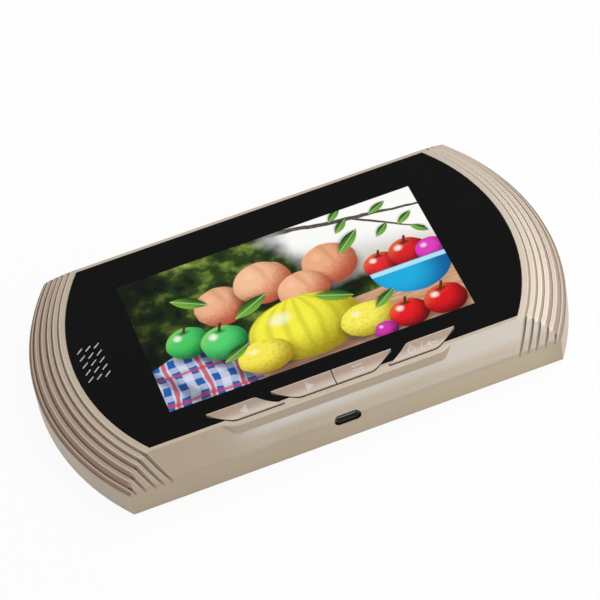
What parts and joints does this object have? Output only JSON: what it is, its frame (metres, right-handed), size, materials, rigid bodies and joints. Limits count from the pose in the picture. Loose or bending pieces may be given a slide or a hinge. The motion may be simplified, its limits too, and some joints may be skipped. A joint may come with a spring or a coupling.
{
  "type": "indoor monitor of a peephole door camera",
  "caption": "Flat indoor door-viewer monitor with a wide screen under dark glass, terraced rounded ends, a speaker grille and a row of scooped slanted buttons over a charging port.",
  "frame": {"origin": "centre of the outline on the back plane, which is the outer face of the rear cover", "axes": "+X to the right as the screen is read, +Y to the top edge of the screen, +Z out of the screen"},
  "size_m": [0.1632, 0.0922, 0.0173],
  "materials": {
    "champagne_paint": "satin champagne metallic paint on moulded plastic",
    "button_paint": "satin champagne metallic paint",
    "rear_plastic": "fine moulded grain",
    "black_glass": "polished, printed black from behind",
    "foam": "matt foam tape",
    "silver_mesh": "fine woven mesh",
    "panel_glass": "display glass",
    "white_plastic": "moulded",
    "sheet_steel": "stamped sheet",
    "amber_film": "printed flexible film",
    "ivory_plastic": "moulded",
    "board_green": "solder mask",
    "chip_black": "moulded",
    "black_plastic": "moulded",
    "battery_foil": "laminated foil",
    "magnet_steel": "nickel plated",
    "screw_steel": "zinc plated"
  },
  "bodies": {
    "case": {"front_housing": "champagne_paint", "rear_cover": "rear_plastic", "front_glass": "black_glass", "glass_tape": "foam", "speaker_mesh": "silver_mesh", "lcd_panel": "panel_glass", "lcd_backlight": "white_plastic", "lcd_frame": "sheet_steel", "lcd_gasket": "foam", "lcd_ribbon": "amber_film", "ribbon_connector": "ivory_plastic", "main_board": "board_green", "board_chips": "chip_black", "camera_socket": "ivory_plastic", "usb_socket": "sheet_steel", "usb_tongue": "black_plastic", "tact_switches": "chip_black", "power_switch_body": "sheet_steel", "battery_pack": "battery_foil", "battery_tape": "foam", "speaker_frame": "black_plastic", "speaker_magnet": "magnet_steel", "speaker_gasket": "foam", "housing_screws": "screw_steel", "board_screws": "screw_steel"},
    "left_key": {"left_button": "button_paint", "left_plunger": "white_plastic"},
    "right_key": {"right_button": "button_paint", "right_plunger": "white_plastic"},
    "menu_key": {"menu_button": "button_paint", "menu_plunger": "white_plastic"},
    "power_key": {"power_button": "button_paint", "power_plunger": "white_plastic"},
    "power_slider": {"power_switch_knob": "black_plastic"}
  },
  "joints": [
    {"name": "left_press", "type": "slide", "parent": "case", "child": "left_key", "axis": [0, 0, -1], "range_m": [0, 0.0005], "stiffness_N_per_m": 800},
    {"name": "right_press", "type": "slide", "parent": "case", "child": "right_key", "axis": [0, 0, -1], "range_m": [0, 0.0005], "stiffness_N_per_m": 800},
    {"name": "menu_press", "type": "slide", "parent": "case", "child": "menu_key", "axis": [0, 0, -1], "range_m": [0, 0.0005], "stiffness_N_per_m": 800},
    {"name": "power_press", "type": "slide", "parent": "case", "child": "power_key", "axis": [0, 0, -1], "range_m": [0, 0.0005], "stiffness_N_per_m": 800},
    {"name": "power_slide", "type": "slide", "parent": "case", "child": "power_slider", "axis": [1, 0, 0], "range_m": [0, 0.0025]}
  ]
}
